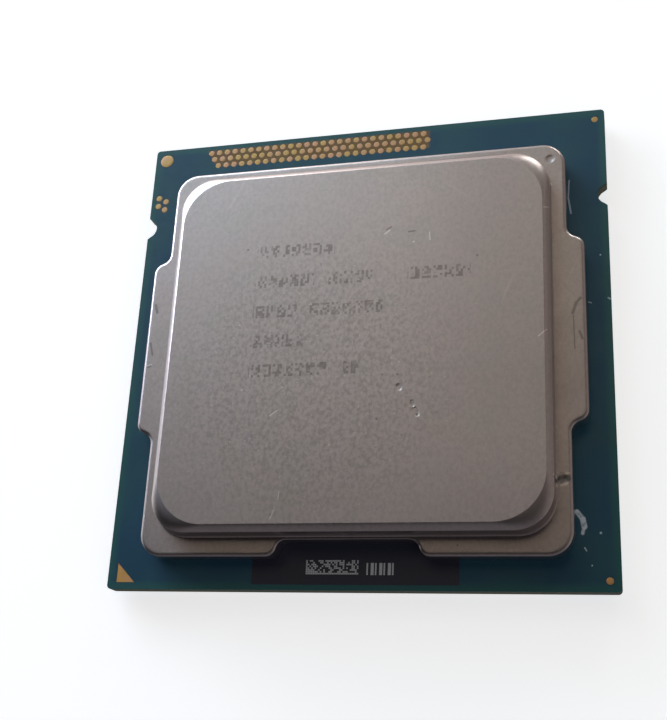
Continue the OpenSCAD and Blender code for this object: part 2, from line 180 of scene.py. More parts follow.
def room_material(tree):
    """Adds up the soft bands of light round the room."""
    sky = tree.nodes["Background"]
    place = tree.nodes.new("ShaderNodeTexCoord")

    def band(heading, rise, low, high, colour):
        away = tree.nodes.new("ShaderNodeVectorMath")
        away.operation = "DOT_PRODUCT"
        tree.links.new(place.outputs["Generated"], away.inputs[0])
        away.inputs[1].default_value = (cos(radians(heading)), sin(radians(heading)), rise)
        ramp = tree.nodes.new("ShaderNodeMapRange")
        ramp.interpolation_type = "SMOOTHSTEP"
        tree.links.new(away.outputs["Value"], ramp.inputs["Value"])
        ramp.inputs["From Min"].default_value = low
        ramp.inputs["From Max"].default_value = high
        tint = tree.nodes.new("ShaderNodeMix")
        tint.data_type = "RGBA"
        tint.inputs["A"].default_value = (0, 0, 0, 1)
        tint.inputs["B"].default_value = (*colour, 1)
        tree.links.new(ramp.outputs["Result"], tint.inputs["Factor"])
        return tint.outputs["Result"]

    total = band(*ROOM_BANDS[0])
    for row in ROOM_BANDS[1:]:
        add = tree.nodes.new("ShaderNodeMix")
        add.data_type = "RGBA"
        add.blend_type = "ADD"
        add.inputs["Factor"].default_value = 1.0
        tree.links.new(total, add.inputs["A"])
        tree.links.new(band(*row), add.inputs["B"])
        total = add.outputs["Result"]
    tree.links.new(total, sky.inputs["Color"])


# ---------------------------------------------------------------- mesh helpers, millimetres

def new_object(name, verts, faces, material):
    """A smooth mesh piece from millimetre points; it rides on the package."""
    mesh = bpy.data.meshes.new(name)
    mesh.from_pydata([(x * MM, y * MM, z * MM) for x, y, z in verts], [], faces)
    mesh.validate()
    work = bmesh.new()
    work.from_mesh(mesh)
    bmesh.ops.recalc_face_normals(work, faces=work.faces)
    work.to_mesh(mesh)
    work.free()
    mesh.shade_smooth()
    mesh.materials.append(material)
    piece = bpy.data.objects.new(name, mesh)
    bpy.context.scene.collection.objects.link(piece)
    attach(piece, "root")
    return piece


def loft(loops):
    """Quads between closed loops of equal length, in order, with a fan at each end."""
    count = len(loops[0])
    verts = [p for loop in loops for p in loop]
    faces = []
    for k in range(len(loops) - 1):
        a, b = k * count, (k + 1) * count
        for i in range(count):
            j = (i + 1) % count
            faces.append((a + i, a + j, b + j, b + i))
    for start in (0, (len(loops) - 1) * count):
        ring = verts[start:start + count]
        centre = len(verts)
        verts.append(tuple(sum(p[axis] for p in ring) / count for axis in range(3)))
        faces += [(start + i, start + (i + 1) % count, centre) for i in range(count)]
    return verts, faces


def islands(node):
    """The low and high corners, in millimetres, of each separate solid in a CAD node."""
    work = bmesh.new()
    work.from_mesh(nodes[node].data)
    bmesh.ops.remove_doubles(work, verts=work.verts, dist=0.000001)
    seen, found = set(), []
    for first in work.verts:
        if first in seen:
            continue
        seen.add(first)
        group, open_ends = [], [first]
        while open_ends:
            vert = open_ends.pop()
            group.append(vert.co / MM)
            for edge in vert.link_edges:
                other = edge.other_vert(vert)
                if other not in seen:
                    seen.add(other)
                    open_ends.append(other)
        found.append((Vector(min(p[a] for p in group) for a in range(3)),
                      Vector(max(p[a] for p in group) for a in range(3))))
    work.free()
    return sorted(found, key=lambda pair: (round(pair[0].y, 3), round(pair[0].x, 3), round(pair[0].z, 3)))


def merge(pieces):
    """Joins several (verts, faces) pairs into one."""
    verts, faces = [], []
    for some_verts, some_faces in pieces:
        offset = len(verts)
        verts += some_verts
        faces += [tuple(offset + i for i in face) for face in some_faces]
    return verts, faces


def rounded_rectangle(half_x, half_y, radius, arc_steps):
    """Points of a rounded rectangle about the origin, counter-clockwise."""
    points = []
    for turn, (sx, sy) in enumerate(((1, 1), (-1, 1), (-1, -1), (1, -1))):
        for k in range(arc_steps + 1):
            a = radians(90 * (turn + k / arc_steps))
            points.append((sx * (half_x - radius) + radius * cos(a),
                           sy * (half_y - radius) + radius * sin(a)))
    return points


def at_height(outline, centre, z):
    """The points of an outline moved to centre, at height z."""
    return [(centre.x + x, centre.y + y, z) for x, y in outline]


def rounded_plate(low, high, corner, edge, arc_steps, face_down):
    """A thin plate with round corners whose outer face has a rolled edge."""
    centre = (low + high) / 2
    half = (high - low) / 2
    outer_z, inner_z = (low.z, high.z) if face_down else (high.z, low.z)
    out = -1 if face_down else 1
    levels = [(0.0, inner_z), (0.0, outer_z - out * edge)]
    for k in range(1, 4):
        a = pi / 2 * k / 3
        levels.append((edge * (1 - cos(a)), outer_z - out * edge * (1 - sin(a))))
    # A last loop well inside the edge keeps the middle flat.
    levels.append((min(half.x, half.y) * 0.45, outer_z))
    loops = []
    for inset, z in levels:
        radius = max(corner - inset, corner * 0.3)
        outline = rounded_rectangle(half.x - inset, half.y - inset, radius, arc_steps)
        loops.append(at_height(outline, centre, z))
    return loft(loops)


def rounded_block(low, high, radius):
    """A block with every edge rolled to radius."""
    arc_steps = 3
    centre = (low + high) / 2
    half = (high - low) / 2
    loops = []
    for k in range(2 * arc_steps + 2):
        top = k > arc_steps
        a = pi / 2 * ((k - 1 if top else k) / arc_steps - 1)
        z = (half.z - radius if top else radius - half.z) + radius * sin(a)
        inset = radius * (1 - cos(a))
        corner = max(radius - inset, radius * 0.15)
        outline = rounded_rectangle(half.x - inset, half.y - inset, corner, arc_steps)
        loops.append(at_height(outline, centre, centre.z + z))
    return loft(loops)


# ---------------------------------------------------------------- the lid

# The flange in plan: its corner radius, where the ears start and the run of their S bends, and half the
# width of the front notch, the run of its S bends and its depth.
FLANGE_CORNER = 1.75
EAR_ROOT = 8.0
EAR_BEND = 1.7
NOTCH_HALF = 6.0
NOTCH_RUN = 1.55
NOTCH_DEPTH = 1.2
OUTLINE_STEP = 0.16
# The flange's coined top edge: its width, how far it tips, and how far down the straight side starts.
FLANGE_EDGE = 0.26
FLANGE_BEVEL = radians(50)
FLANGE_SIDE_STOP = 0.16
FLANGE_RINGS = 14
EDGE_WEAR = 0.014
# The cavity under the lid, the fillet round its ceiling, and the rim's rounded edge.
CAVITY_HALF = 12.6
CAVITY_CORNER = 2.5
CAVITY_FILLET = 0.25
RIM_ROUND = 0.12
# The platform's half sizes and corner radius at its foot, at the bend under its bevel and at its flat top.
FOOT = (14.64, 14.54, 2.6)
BEND = (14.61, 14.46, 2.8)
FLAT = (14.15, 13.97, 3.7)
FOOT_FILLET = 0.08
BEVEL_DROP = 0.40
BEVEL_STEEP = radians(52)
BEVEL_SHALLOW = radians(20)
# The coined dimple and the gouge in the flange's top face: middle, size, depth and raised edge.
DIMPLE = (14.66, 13.77)
DIMPLE_RADIUS = 0.32
DIMPLE_DEPTH = 0.055
DIMPLE_BURR = 0.006
GOUGE = (15.08, -11.40)
GOUGE_HALF = (0.50, 0.34)
GOUGE_TURN = radians(16)
GOUGE_DEPTH = 0.04
GOUGE_BURR = 0.03
# How far the flange's top face waves up and down.
FLANGE_WAVE = 0.008


def bend_radius(rise, run):
    """Radius of the two equal arcs of an S bend."""
    return (rise * rise + run * run) / (4 * rise)


def line_points(start, end):
    """Points from start up to, but not at, end."""
    steps = max(1, round(hypot(end[0] - start[0], end[1] - start[1]) / OUTLINE_STEP))
    return [(start[0] + (end[0] - start[0]) * k / steps, start[1] + (end[1] - start[1]) * k / steps)
            for k in range(steps)]


def arc_points(centre, radius, start, end):
    """Points from angle start up to, but not at, angle end, in degrees."""
    steps = max(4, round(abs(radians(end - start)) * radius / OUTLINE_STEP * 1.6))
    angles = [radians(start + (end - start) * k / steps) for k in range(steps)]
    return [(centre[0] + radius * cos(a), centre[1] + radius * sin(a)) for a in angles]


def flange_outline():
    """The flange's plan, counter-clockwise, with its ears and front notch."""
    front, rear = LID_LOW.y, LID_HIGH.y
    flange = FLANGE_HALF
    inner_y = front + NOTCH_DEPTH
    narrow = NOTCH_HALF - NOTCH_RUN
    r = bend_radius(NOTCH_DEPTH, NOTCH_RUN)
    tip = degrees(atan2(2 * r - NOTCH_DEPTH, NOTCH_RUN))
    rise = EAR_HALF - flange
    e = bend_radius(rise, EAR_BEND)
    lean = degrees(atan2(EAR_BEND, rise - 2 * e))
    c = FLANGE_CORNER
    half = line_points((0, inner_y), (narrow, inner_y))
    half += arc_points((narrow, inner_y - r), r, 90, tip)
    half += arc_points((NOTCH_HALF, front + r), r, 180 + tip, 270)
    half += line_points((NOTCH_HALF, front), (flange - c, front))
    half += arc_points((flange - c, front + c), c, 270, 360)
    half += line_points((flange, front + c), (flange, -EAR_ROOT))
    half += arc_points((flange + e, -EAR_ROOT), e, 180, lean)
    half += arc_points((EAR_HALF - e, EAR_BEND - EAR_ROOT), e, lean - 180, 0)
    half += line_points((EAR_HALF, EAR_BEND - EAR_ROOT), (EAR_HALF, EAR_ROOT - EAR_BEND))
    half += arc_points((EAR_HALF - e, EAR_ROOT - EAR_BEND), e, 0, 180 - lean)
    half += arc_points((flange + e, EAR_ROOT), e, 360 - lean, 180)
    half += line_points((flange, EAR_ROOT), (flange, rear - c))
    half += arc_points((flange - c, rear - c), c, 0, 90)
    half += line_points((flange - c, rear), (0, rear))
    other = [(-x, y) for x, y in reversed(half[1:])]
    return half + [(0, rear)] + other


def outward_normals(points):
    """Unit normals of a counter-clockwise outline."""
    normals = []
    for i in range(len(points)):
        ax, ay = points[i - 1]
        bx, by = points[(i + 1) % len(points)]
        length = hypot(bx - ax, by - ay)
        normals.append(((by - ay) / length, (ax - bx) / length))
    return normals


def ring_point(angle, half_x, half_y, corner):
    """Where a ray from the lid's centre meets a rounded rectangle."""
    dx, dy = cos(angle), sin(angle)
    ux, uy = abs(dx), abs(dy)
    kx, ky = half_x - corner, half_y - corner
    if ux > 1e-9 and uy * half_x / ux <= ky:
        reach = half_x / ux
    elif uy > 1e-9 and ux * half_y / uy <= kx:
        reach = half_y / uy
    else:
        along = ux * kx + uy * ky
        reach = along + sqrt(along * along - kx * kx - ky * ky + corner * corner)
    return dx * reach, LID_Y + dy * reach


def flange_relief(x, y):
    """Height added to the flange's top face by its dimple, a gouge and slight unevenness."""
    height = FLANGE_WAVE * noise.noise(Vector((x * 0.45, y * 0.45, 3.1)))
    gap = hypot(x - DIMPLE[0], y - DIMPLE[1]) / DIMPLE_RADIUS
    if gap < 1:
        height -= DIMPLE_DEPTH * sqrt(1 - gap * gap)
    elif gap < 1.5:
        height += DIMPLE_BURR * sin(pi * (gap - 1) / 0.5)
    dx, dy = x - GOUGE[0], y - GOUGE[1]
    along = (dx * cos(GOUGE_TURN) + dy * sin(GOUGE_TURN)) / GOUGE_HALF[0]
    across = (dy * cos(GOUGE_TURN) - dx * sin(GOUGE_TURN)) / GOUGE_HALF[1]
    ragged = 1 + 0.35 * noise.noise(Vector((x * 3.1, y * 3.1, 8.7)))
    gap = hypot(along, across) * ragged
    if gap < 1:
        torn = 1.1 + 0.5 * noise.noise(Vector((x * 6, y * 6, 1.3)))
        height -= GOUGE_DEPTH * min(1, 2.2 * (1 - gap * gap)) * torn
    elif gap < 1.45:
        burr = 0.6 + noise.noise(Vector((x * 4, y * 4, 5.5)))
        height += GOUGE_BURR * sin(pi * (gap - 1) / 0.45) * burr
    return height


def between(a, b, share):
    """Numbers a share of the way from those of a to those of b."""
    return tuple(p + (q - p) * share for p, q in zip(a, b))


def lid_mesh(material):
    """One closed skin: out from the cavity's ceiling, round the flange and back in over the platform."""
    plan = flange_outline()
    normals = outward_normals(plan)
    angles = [atan2(y - LID_Y, x) for x, y in plan]
    wear = [abs(EDGE_WEAR * noise.noise(Vector((x * 0.8, y * 0.8, 0.0)))) for x, y in plan]
    rim_z, top_z = LID_LOW.z, LID_HIGH.z

    def ring(sizes, z):
        """A rounded rectangle's points at height z; sizes holds its half sizes and corner radius."""
        return [(*ring_point(a, *sizes), z) for a in angles]

    def inset(distance, z, worn=0):
        """The flange's plan drawn in by distance at height z."""
        return [(x - nx * (distance + w * worn), y - ny * (distance + w * worn), z)
                for (x, y), (nx, ny), w in zip(plan, normals, wear)]

    foot_line = ring([size + FOOT_FILLET for size in FOOT], FLANGE_TOP)
    # The coined edge narrows where the platform's foot comes close to the notch.
    edges = [min(FLANGE_EDGE, 0.45 * hypot(x - fx, y - fy)) for (x, y), (fx, fy, _) in zip(plan, foot_line)]

    def coined(a):
        """The flange's top edge where its face slopes down at angle a."""
        loop = []
        for (x, y), (nx, ny), w, edge in zip(plan, normals, wear, edges):
            distance = edge * (1 - sin(a) / sin(FLANGE_BEVEL)) + w
            drop = edge * (1 - cos(a)) / sin(FLANGE_BEVEL)
            loop.append((x - nx * distance, y - ny * distance, FLANGE_TOP - drop))
        return loop

    loops = []
    for share in (0.05, 0.4, 0.75):
        side = (CAVITY_HALF - CAVITY_FILLET) * share
        loops.append(ring((side, side, CAVITY_CORNER * share), CAVITY_TOP))
    for k in range(5):
        a = pi / 2 * k / 4
        shrink = CAVITY_FILLET * (1 - sin(a))
        side = CAVITY_HALF - shrink
        loops.append(ring((side, side, CAVITY_CORNER - shrink), CAVITY_TOP - CAVITY_FILLET * (1 - cos(a))))
    for grow, rise in ((0.0, 0.08), (0.03, 0.02), (0.10, 0.0)):
        loops.append(ring((CAVITY_HALF + grow, CAVITY_HALF + grow, CAVITY_CORNER), rim_z + rise))

    rim_inner, rim_outer = loops[-1], inset(RIM_ROUND, rim_z)
    for share in (0.33, 0.66):
        loops.append([between(p, q, share) for p, q in zip(rim_inner, rim_outer)])
    loops.append(rim_outer)
    for k in range(1, 4):
        a = pi / 2 * k / 3
        loops.append(inset(RIM_ROUND * (1 - sin(a)), rim_z + RIM_ROUND * (1 - cos(a)), 1))
    side_low, side_high = rim_z + RIM_ROUND, FLANGE_TOP - FLANGE_SIDE_STOP
    for share in (0.35, 0.7, 1.0):
        loops.append(inset(0.0, side_low + (side_high - side_low) * share, 1))
    for share in (1.0, 0.97, 0.8, 0.6, 0.4, 0.2, 0.0):
        loops.append(coined(FLANGE_BEVEL * share))

    edge_line = loops[-1]
    for k in range(1, FLANGE_RINGS + 1):
        share = k / FLANGE_RINGS
        fade = min(1.0, 4 * share, 4 * (1.25 - share))
        row = []
        for edge_point, foot_point in zip(edge_line, foot_line):
            x, y, _ = between(edge_point, foot_point, share)
            row.append((x, y, FLANGE_TOP + flange_relief(x, y) * fade))
        loops.append(row)
    for k in range(1, 4):
        a = pi / 2 * k / 3
        grow = FOOT_FILLET * (1 - sin(a))
        loops.append(ring([size + grow for size in FOOT], FLANGE_TOP + FOOT_FILLET * (1 - cos(a))))

    # The wall leans in a little up to a bend, from where a rounded bevel runs to the edge of the flat top;
    # the plan corners open up as they rise.
    wall_z, bend_z = FLANGE_TOP + FOOT_FILLET, top_z - BEVEL_DROP
    for share in (0.33, 0.66, 0.98):
        loops.append(ring(between(FOOT, BEND, share), wall_z + (bend_z - wall_z) * share))
    for share in (0.0, 0.03, 0.2, 0.4, 0.6, 0.8, 0.98, 1.0):
        a = BEVEL_STEEP + (BEVEL_SHALLOW - BEVEL_STEEP) * share
        roll = 1 - (sin(a) - sin(BEVEL_SHALLOW)) / (sin(BEVEL_STEEP) - sin(BEVEL_SHALLOW))
        lift = (cos(a) - cos(BEVEL_STEEP)) / (cos(BEVEL_SHALLOW) - cos(BEVEL_STEEP))
        loops.append(ring(between(BEND, FLAT, roll), bend_z + BEVEL_DROP * lift))
    for share in (0.998, 0.97, 0.9, 0.75, 0.5, 0.3, 0.1):
        loops.append(ring([size * share for size in FLAT], top_z))
    verts, faces = loft(loops)
    lid = new_object("lid", verts, faces, material)
    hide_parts("heat_spreader")


# ---------------------------------------------------------------- pads, lands, capacitors and sealant

SOLDER_FILLET = 0.05


def plates(name, cad_node, material, corner_share, edge, face_down=False, arc_steps=4):
    """One plate for each solid of a CAD node, as one piece."""
    made = []
    for low, high in islands(cad_node):
        corner = corner_share * min(high.x - low.x, high.y - low.y) / 2
        made.append(rounded_plate(low, high, corner, edge, arc_steps, face_down))
    verts, faces = merge(made)
    piece = new_object(name, verts, faces, material)
    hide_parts(cad_node)


def blocks(name, cad_node, material, radius):
    """One block for each solid of a CAD node, as one piece."""
    verts, faces = merge([rounded_block(low, high, radius) for low, high in islands(cad_node)])
    piece = new_object(name, verts, faces, material)
    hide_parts(cad_node)


def solder_joints(name, cad_node, material):
    """A slab of solder under each end cap, with a concave fillet climbing away from the board."""
    made = []
    steps = 6
    for low, high in islands(cad_node):
        centre = (low + high) / 2
        half = (high - low) / 2
        loops = []
        for k in range(steps + 1):
            share = k / steps
            shrink = SOLDER_FILLET * (1 - (1 - share) ** 2)
            outline = rounded_rectangle(half.x - shrink, half.y - shrink, SOLDER_FILLET, 3)
            loops.append(at_height(outline, centre, high.z - (high.z - low.z) * share * 0.98))
        made.append(loft(loops))
    verts, faces = merge(made)
    piece = new_object(name, verts, faces, material)
    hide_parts(cad_node)


# The silicone bead: its width, the corner radius of its middle line, half its gap at the rear, and how
# quickly and to what share of the width its ends narrow.
BEAD_WIDTH = 1.5
BEAD_CORNER = 3.65
BEAD_GAP_HALF = 1.6
BEAD_TAPER = 14
BEAD_END = 0.25


def sealant_bead(material):
    """The silicone bead squeezed between lid and substrate, open at the rear."""
    low, high = box_mm("lid_adhesive")
    middle = high.x - BEAD_WIDTH / 2
    path = (middle, middle, BEAD_CORNER)
    gap_angle = BEAD_GAP_HALF / middle
    start = pi / 2 + gap_angle
    full_turn = 2 * pi - 2 * gap_angle
    path_steps = 420
    section_steps = 14
    nudge = 0.004
    height = high.z - low.z
    loops = []
    for k in range(path_steps + 1):
        a = start + full_turn * k / path_steps
        x, y = ring_point(a, *path)
        ax, ay = ring_point(a - nudge, *path)
        bx, by = ring_point(a + nudge, *path)
        length = hypot(bx - ax, by - ay)
        nx, ny = (by - ay) / length, (ax - bx) / length
        done = k / path_steps
        end = min(1.0, BEAD_TAPER * done + BEAD_END, BEAD_TAPER * (1 - done) + BEAD_END)
        uneven = 0.93 + 0.07 * noise.noise(Vector((x * 0.7, y * 0.7, 4.0)))
        row = []
        for step in range(section_steps):
            b = 2 * pi * step / section_steps
            across = BEAD_WIDTH / 2 * end * uneven * copysign(abs(cos(b)) ** 0.6, cos(b))
            lift = height / 2 * (1 + copysign(abs(sin(b)) ** 0.35, sin(b)))
            row.append((x + nx * across, y + ny * across, low.z + lift))
        loops.append(row)
    verts, faces = loft(loops)
    bead = new_object("sealant_bead", verts, faces, material)
    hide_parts("lid_adhesive")


# ---------------------------------------------------------------- material helpers

class Nodes:
    """Builds one material's node tree; coordinates are in millimetres of the object's own frame."""

    def __init__(self, name):
        self.material = bpy.data.materials.new(name)
        self.material.use_nodes = True
        self.tree = self.material.node_tree
        self.shader = self.tree.nodes["Principled BSDF"]
        place = self.tree.nodes.new("ShaderNodeTexCoord")
        self.mm = self.vector_math("SCALE", place.outputs["Object"], scale=1 / MM)
        self.normal = place.outputs["Normal"]

    def node(self, kind, **settings):
        made = self.tree.nodes.new(kind)
        for key, value in settings.items():
            setattr(made, key, value)
        return made

    def put(self, socket, value):
        if isinstance(value, bpy.types.NodeSocket):
            self.tree.links.new(value, socket)
        else:
            socket.default_value = value

    def vector_math(self, operation, a, b=None, scale=None):
        made = self.node("ShaderNodeVectorMath", operation=operation)
        self.put(made.inputs[0], a)
        if b is not None:
            self.put(made.inputs[1], b)
        if scale is not None:
            self.put(made.inputs["Scale"], scale)
        return made.outputs["Vector"]

    def math(self, operation, a, b=0.0):
        made = self.node("ShaderNodeMath", operation=operation)
        self.put(made.inputs[0], a)
        self.put(made.inputs[1], b)
        return made.outputs[0]

    def plus(self, a, b):
        return self.math("ADD", a, b)

    def minus(self, a, b):
        return self.math("SUBTRACT", a, b)

    def times(self, first, *others):
        total = first
        for other in others:
            total = self.math("MULTIPLY", total, other)
        return total

    def union(self, *masks):
        total = masks[0]
        for mask in masks[1:]:
            total = self.math("MAXIMUM", total, mask)
        return total

    def split(self, vector):
        made = self.node("ShaderNodeSeparateXYZ")
        self.put(made.inputs[0], vector)
        return made.outputs["X"], made.outputs["Y"], made.outputs["Z"]

    def noise(self, scale, detail, rough=0.55, stretch=None):
        """Noise with scale features per millimetre, from 0 to 1."""
        where = self.mm if stretch is None else self.vector_math("MULTIPLY", self.mm, stretch)
        made = self.node("ShaderNodeTexNoise")
        self.put(made.inputs["Vector"], where)
        made.inputs["Scale"].default_value = scale
        made.inputs["Detail"].default_value = detail
        made.inputs["Roughness"].default_value = rough
        return made.outputs["Fac"]

    def cell_value(self, scale):
        """A random value from 0 to 1 for each irregular cell, with scale cells per millimetre."""
        made = self.node("ShaderNodeTexVoronoi")
        self.put(made.inputs["Vector"], self.mm)
        made.inputs["Scale"].default_value = scale
        return self.split(made.outputs["Color"])[0]

    def ramp(self, value, low, high, to_low=0.0, to_high=1.0):
        made = self.node("ShaderNodeMapRange", interpolation_type="SMOOTHSTEP")
        self.put(made.inputs["Value"], value)
        made.inputs["From Min"].default_value = low
        made.inputs["From Max"].default_value = high
        made.inputs["To Min"].default_value = to_low
        made.inputs["To Max"].default_value = to_high
        return made.outputs["Result"]

    def mix(self, amount, a, b):
        made = self.node("ShaderNodeMix", data_type="RGBA")
        self.put(made.inputs["Factor"], amount)
        self.put(made.inputs["A"], a if isinstance(a, bpy.types.NodeSocket) else (*a, 1))
        self.put(made.inputs["B"], b if isinstance(b, bpy.types.NodeSocket) else (*b, 1))
        return made.outputs["Result"]

    def bump(self, height, depth_mm, strength, below=None):
        """depth_mm is how far a height of 1 stands up."""
        made = self.node("ShaderNodeBump")
        made.inputs["Strength"].default_value = strength
        made.inputs["Distance"].default_value = depth_mm * MM
        self.put(made.inputs["Height"], height)
        if below is not None:
            self.put(made.inputs["Normal"], below)
        return made.outputs["Normal"]

    def scratches(self, scale, turn, threshold):
        """Thin broken lines along one direction in the plan, as a mask from 0 to 1."""
        rotate = self.node("ShaderNodeVectorRotate", rotation_type="Z_AXIS")
        self.put(rotate.inputs["Vector"], self.mm)
        rotate.inputs["Angle"].default_value = radians(turn)
        where = self.vector_math("MULTIPLY", rotate.outputs["Vector"], (1.0, 0.05, 0.05))
        made = self.node("ShaderNodeTexNoise")
        self.put(made.inputs["Vector"], where)
        made.inputs["Scale"].default_value = scale
        made.inputs["Detail"].default_value = 2.0
        return self.ramp(made.outputs["Fac"], threshold, threshold + 0.06)

    def near_segment(self, start, end, width, soft):
        """Mask of a stroke in the plan from start to end, in millimetres."""
        x, y, _ = self.split(self.mm)
        length = hypot(end[0] - start[0], end[1] - start[1])
        dx, dy = (end[0] - start[0]) / length, (end[1] - start[1]) / length
        from_x, from_y = self.minus(x, start[0]), self.minus(y, start[1])
        along = self.plus(self.times(from_x, dx), self.times(from_y, dy))
        across = self.minus(self.times(from_y, dx), self.times(from_x, dy))
        held = self.math("MAXIMUM", self.math("MINIMUM", along, length), 0.0)
        past = self.minus(along, held)
        gap = self.math("SQRT", self.plus(self.times(past, past), self.times(across, across)))
        return self.ramp(gap, width, width + soft, 1.0, 0.0)

    def near_point(self, centre, radius, soft):
        """Mask of a round spot in the plan, in millimetres."""
        flat = self.vector_math("MULTIPLY", self.mm, (1.0, 1.0, 0.0))
        made = self.node("ShaderNodeVectorMath", operation="DISTANCE")
        self.put(made.inputs[0], flat)
        made.inputs[1].default_value = (*centre, 0.0)
        return self.ramp(made.outputs["Value"], radius, radius + soft, 1.0, 0.0)

    def strokes(self, rows):
        """The union of several strokes, each (start, end, width, soft)."""
        return self.union(*[self.near_segment(*row) for row in rows])

    def spots(self, rows):
        """The union of several spots, each (centre, radius, soft)."""
        return self.union(*[self.near_point(*row) for row in rows])

    def within(self, value, low, high):
        return self.times(self.math("GREATER_THAN", value, low), self.math("LESS_THAN", value, high))

    def dot_code(self, lines, wide, high, rows):
        """Lines of plain random dot cells, each some rows of cells high.

        lines holds (x from, x to, y of the line's foot), and wide and high are one cell's size.
        """
        x, y, _ = self.split(self.mm)
        areas = []
        heights = []
        for start, end, foot in lines:
            inside = self.times(self.within(x, start, end), self.within(y, foot, foot + high * rows))
            areas.append(inside)
            heights.append(self.times(inside, self.minus(y, foot)))
        column = self.math("FLOOR", self.math("DIVIDE", x, wide))
        cell = self.node("ShaderNodeCombineXYZ")
        self.put(cell.inputs["X"], column)
        self.put(cell.inputs["Y"], self.math("FLOOR", self.math("DIVIDE", self.union(*heights), high)))
        self.put(cell.inputs["Z"], self.math("FLOOR", y))
        pick = self.node("ShaderNodeTexWhiteNoise", noise_dimensions="3D")
        self.put(pick.inputs["Vector"], cell.outputs["Vector"])
        printed = self.math("GREATER_THAN", pick.outputs["Value"], 0.48)
        # Every fifth column is blank.
        space = self.math("GREATER_THAN", self.math("FLOORED_MODULO", column, 5.0), 0.5)
        return self.times(self.union(*areas), printed, space)

    def finish(self, colour, roughness, normal=None, **constants):
        self.put(self.shader.inputs["Base Color"], colour)
        self.put(self.shader.inputs["Roughness"], roughness)
        if normal is not None:
            self.put(self.shader.inputs["Normal"], normal)
        for name, value in constants.items():
            self.shader.inputs[name.replace("_", " ")].default_value = value
        return self.material


# ---------------------------------------------------------------- materials

def floor_material():
    n = Nodes("pale_floor")
    shade = n.mix(n.noise(0.02, 2), (0.62, 0.62, 0.62), (0.64, 0.64, 0.64))
    n.shader.inputs["Emission Color"].default_value = (1, 1, 1, 1)
    return n.finish(shade, 0.85, Emission_Strength=0.68)


# Laser-marked rows of a plain dot code on the lid's top face: X from, X to and Y of the row's foot.
CODE_ROWS = [
    (-7.7, -1.5, 6.2),
    (-7.7, -3.0, 3.65), (-1.9, 1.5, 3.65), (4.2, 8.9, 3.65),
    (-7.7, -4.2, 1.15), (-3.4, 2.4, 1.15),
    (-7.7, -3.4, -1.25),
    (-7.7, -1.5, -3.6), (-0.4, 0.8, -3.6),
]
# Width and height of one cell, and the cells up a row.
CODE_CELL = (0.17, 0.2, 5)
# Strokes: start, end, half width and soft edge. Specks and spots: middle, radius and soft edge.
DENTS = [
    ((3.76, -4.70), (3.84, -4.88), 0.08, 0.16),
    ((4.76, -5.92), (4.86, -6.20), 0.05, 0.12),
    ((4.98, -6.50), (5.16, -6.88), 0.08, 0.16),
]
DARK_SPECKS = [
    ((3.68, -4.62), 0.06, 0.10), ((4.72, -5.98), 0.03, 0.08), ((5.16, -6.90), 0.04, 0.08),
    ((2.24, -7.13), 0.05, 0.06), ((2.54, -3.78), 0.04, 0.06), ((3.66, -3.80), 0.05, 0.07),
    ((-8.51, 7.01), 0.06, 0.07), ((9.37, 5.26), 0.05, 0.07), ((-5.18, -14.01), 0.05, 0.06),
    ((7.90, -15.90), 0.05, 0.05), ((-6.09, -7.25), 0.03, 0.05), ((-4.27, -4.79), 0.03, 0.05),
]
LIGHT_STROKES = [
    ((3.92, -4.96), (3.98, -4.80), 0.03, 0.08), ((4.95, -6.12), (4.90, -6.30), 0.02, 0.07),
    ((5.28, -6.70), (5.30, -6.92), 0.03, 0.08), ((4.56, 6.70), (4.62, 6.74), 0.03, 0.05),
    ((-5.26, -6.26), (-5.78, -6.63), 0.02, 0.06), ((-4.98, -13.64), (-5.23, -14.30), 0.015, 0.05),
    ((-4.69, -12.31), (-4.72, -12.91), 0.01, 0.05), ((13.71, -1.37), (14.31, -0.86), 0.015, 0.05),
    ((14.23, 8.84), (14.60, 8.93), 0.015, 0.05), ((2.36, 7.55), (2.74, 7.84), 0.02, 0.07),
    ((5.77, 7.43), (5.83, 6.80), 0.015, 0.06), ((14.51, 11.89), (14.73, 11.52), 0.02, 0.06),
    ((-16.74, -1.64), (-16.35, -1.55), 0.02, 0.05), ((14.58, -11.36), (14.76, -11.08), 0.03, 0.07),
    ((14.76, -11.08), (15.05, -10.96), 0.03, 0.07), ((15.05, -10.96), (15.56, -10.91), 0.03, 0.06),
    ((14.62, -11.62), (14.70, -11.86), 0.02, 0.07),
]
DARK_STROKES = [
    ((2.50, 7.90), (2.85, 8.10), 0.03, 0.07), ((4.19, 7.60), (4.65, 7.62), 0.03, 0.08),
    ((16.09, 0.74), (16.14, -1.79), 0.015, 0.06), ((16.62, 2.10), (16.30, 1.70), 0.05, 0.10),
    ((16.32, 1.75), (16.05, 0.95), 0.05, 0.12), ((16.50, -0.50), (16.68, -1.05), 0.03, 0.12),
    ((-16.63, 0.25), (-16.38, -0.75), 0.03, 0.10), ((-16.55, 3.50), (-16.36, 2.85), 0.05, 0.12),
    ((-16.66, -1.78), (-16.42, -1.70), 0.03, 0.06), ((14.66, -11.45), (14.82, -11.78), 0.04, 0.10),
]
# The scraped floor of the gouge in the right of the flange.
GOUGE_FLOOR = ((14.90, -11.48), (15.42, -11.28), 0.17, 0.12)


